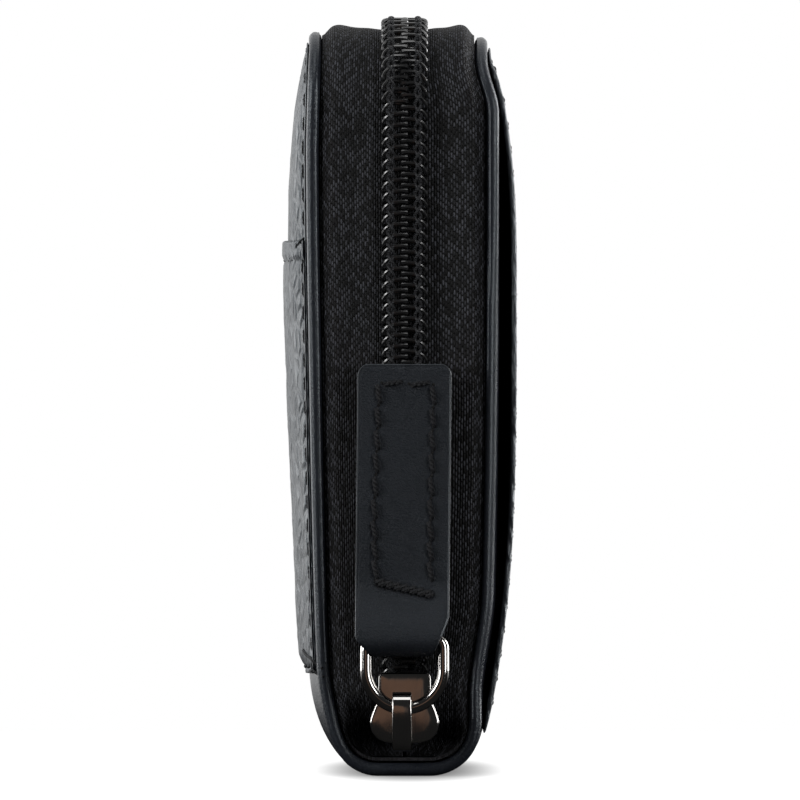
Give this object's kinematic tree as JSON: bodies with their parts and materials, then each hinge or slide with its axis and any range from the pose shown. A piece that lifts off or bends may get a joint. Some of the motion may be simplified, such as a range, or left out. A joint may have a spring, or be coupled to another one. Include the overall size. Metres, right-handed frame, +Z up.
{
  "type": "zip-around wallet",
  "caption": "Leather zip-around wallet on its spine, with outer slip pockets, card slots, a zipped coin pocket and a leather pull tab on a ring",
  "frame": {"origin": "centre of the spine's flat underside, on which the wallet stands", "axes": "+Z up from the spine to the zip along the top, +Y from the end with the slider to the far end, +X from the front cover to the rear cover"},
  "size_m": [0.0306, 0.1404, 0.0996],
  "materials": {
    "smooth_leather": "smooth, semi-gloss, blue-black",
    "pebbled_leather": "pebbled grain, satin, black",
    "pull_leather": "fine grain, satin, black",
    "woven_tape": "woven twill, matt black",
    "nylon": "satin black coil",
    "lining_cloth": "fine woven, matt black",
    "card_leather": "smooth, satin, black",
    "gunmetal": "polished dark plating"
  },
  "bodies": {
    "spine": {"spine_panel": "smooth_leather", "spine_lining": "lining_cloth", "coin_wall_front": "lining_cloth", "coin_wall_rear": "lining_cloth", "coin_gusset": "lining_cloth", "coin_tape_front": "woven_tape", "coin_tape_rear": "woven_tape", "coin_coil_front": "nylon", "coin_coil_rear": "nylon", "coin_stop_near": "gunmetal", "coin_stop_far": "gunmetal"},
    "front": {"front_cover": "smooth_leather", "front_panel": "pebbled_leather", "front_pocket": "pebbled_leather", "front_lining": "lining_cloth", "front_card_panel_1": "card_leather", "front_card_panel_2": "card_leather", "front_card_panel_3": "card_leather", "front_zip_tape": "woven_tape", "front_zip_coil": "nylon", "front_zip_stop": "gunmetal"},
    "rear": {"rear_cover": "smooth_leather", "rear_pocket": "pebbled_leather", "rear_lining": "lining_cloth", "rear_card_panel_1": "card_leather", "rear_card_panel_2": "card_leather", "rear_card_panel_3": "card_leather", "rear_zip_tape": "woven_tape", "rear_zip_coil": "nylon", "rear_zip_stop": "gunmetal"},
    "slider": {"slider_body": "gunmetal", "slider_bridge": "gunmetal"},
    "ring": {"pull_ring": "gunmetal"},
    "tab": {"pull_tab": "pull_leather"},
    "coin_slider": {"coin_slider": "gunmetal", "coin_slider_bridge": "gunmetal"},
    "coin_pull": {"coin_pull": "gunmetal"}
  },
  "joints": [
    {"name": "front_cover_open", "type": "hinge", "parent": "spine", "child": "front", "pos_m": [-0.00839, 0, 0.00439], "axis": [0, -1, 0], "range_deg": [0, 85], "deforming": ["front_zip_coil"]},
    {"name": "rear_cover_open", "type": "hinge", "parent": "spine", "child": "rear", "pos_m": [0.00923, 0, 0.00402], "axis": [0, 1, 0], "range_deg": [0, 85], "deforming": ["rear_zip_coil"]},
    {"name": "slider_travel", "type": "slide", "parent": "rear", "child": "slider", "axis": [0, 0, 1], "range_m": [0, 0.06]},
    {"name": "ring_swing", "type": "hinge", "parent": "slider", "child": "ring", "pos_m": [0.0006, -0.0704, 0.0089], "axis": [1, 0, 0], "range_deg": [0, 90]},
    {"name": "tab_swing", "type": "hinge", "parent": "ring", "child": "tab", "pos_m": [0.0006, -0.0704, 0.01804], "axis": [1, 0, 0], "range_deg": [0, 90]},
    {"name": "coin_slider_travel", "type": "slide", "parent": "spine", "child": "coin_slider", "axis": [0, 1, 0], "range_m": [0, 0.1], "deforming": ["coin_coil_front", "coin_coil_rear"]},
    {"name": "coin_pull_swing", "type": "hinge", "parent": "coin_slider", "child": "coin_pull", "pos_m": [0.0005, -0.0503, 0.0798], "axis": [1, 0, 0], "range_deg": [0, 160]}
  ]
}
